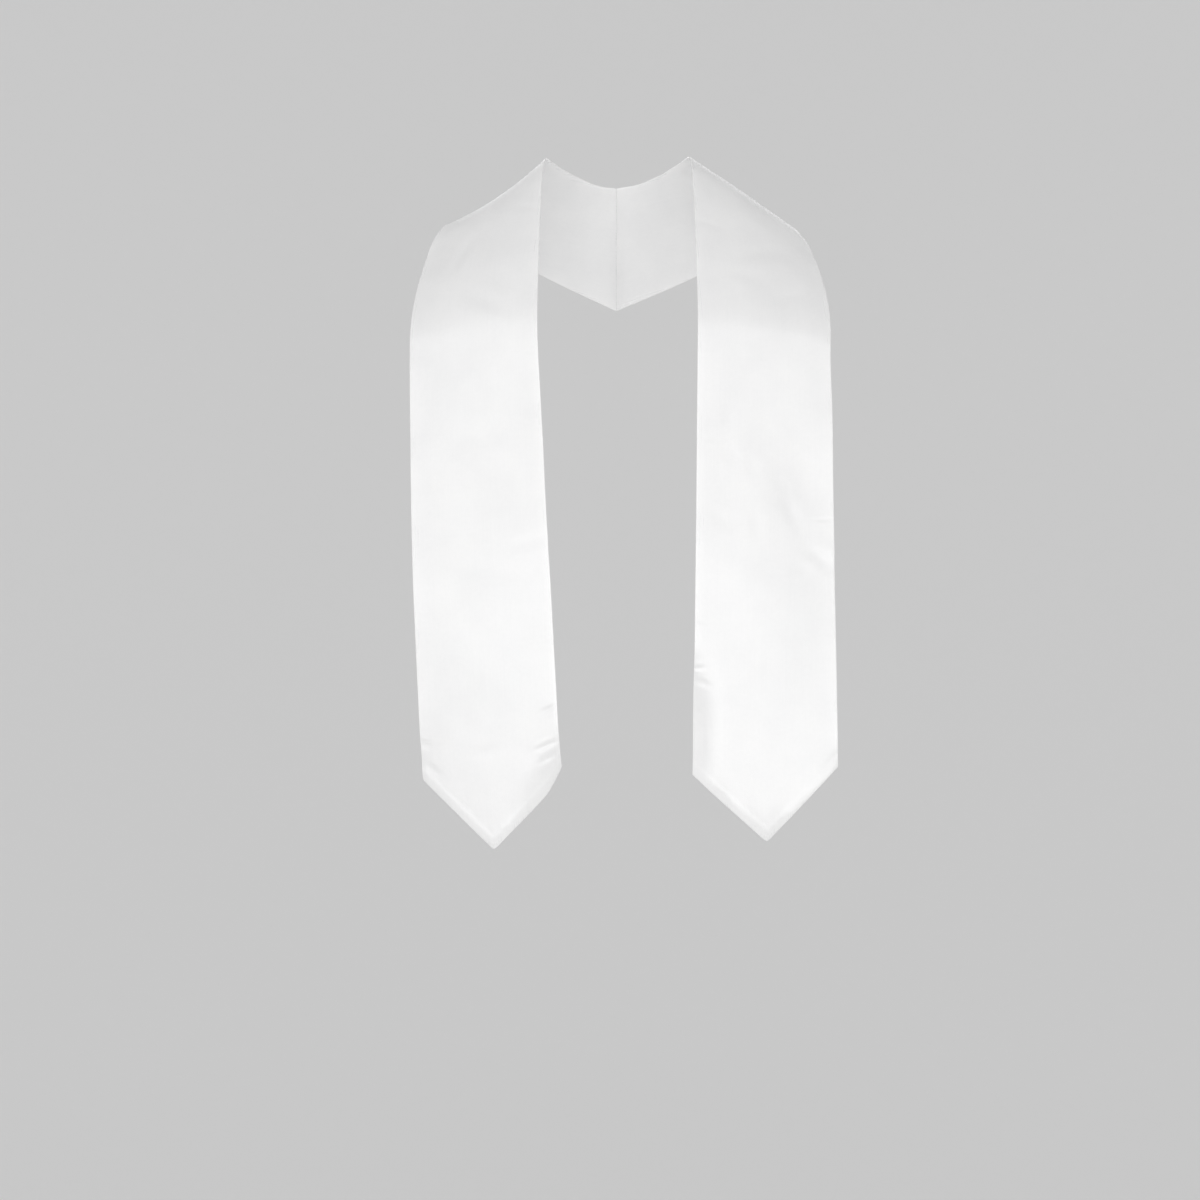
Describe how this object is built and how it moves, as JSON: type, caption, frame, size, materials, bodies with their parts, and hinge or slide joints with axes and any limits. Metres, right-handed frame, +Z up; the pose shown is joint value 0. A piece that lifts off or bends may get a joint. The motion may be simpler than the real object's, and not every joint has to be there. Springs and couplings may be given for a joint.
{
  "type": "graduation stole",
  "caption": "Plain satin graduation stole in its worn form: a mitred V at the back of the neck, two bands over the shoulders and down the front to sewn points.",
  "frame": {"origin": "middle of the neck opening, level with the two places where the inner edges cross the shoulder line", "axes": "+Z up; -Y the front, where the bands hang; +X the left as worn"},
  "size_m": [0.4295, 0.2562, 0.7077],
  "materials": {
    "satin": "pressed white satin with a soft sheen"
  },
  "bodies": {
    "root": {"left_half": "satin", "right_half": "satin"}
  },
  "joints": []
}
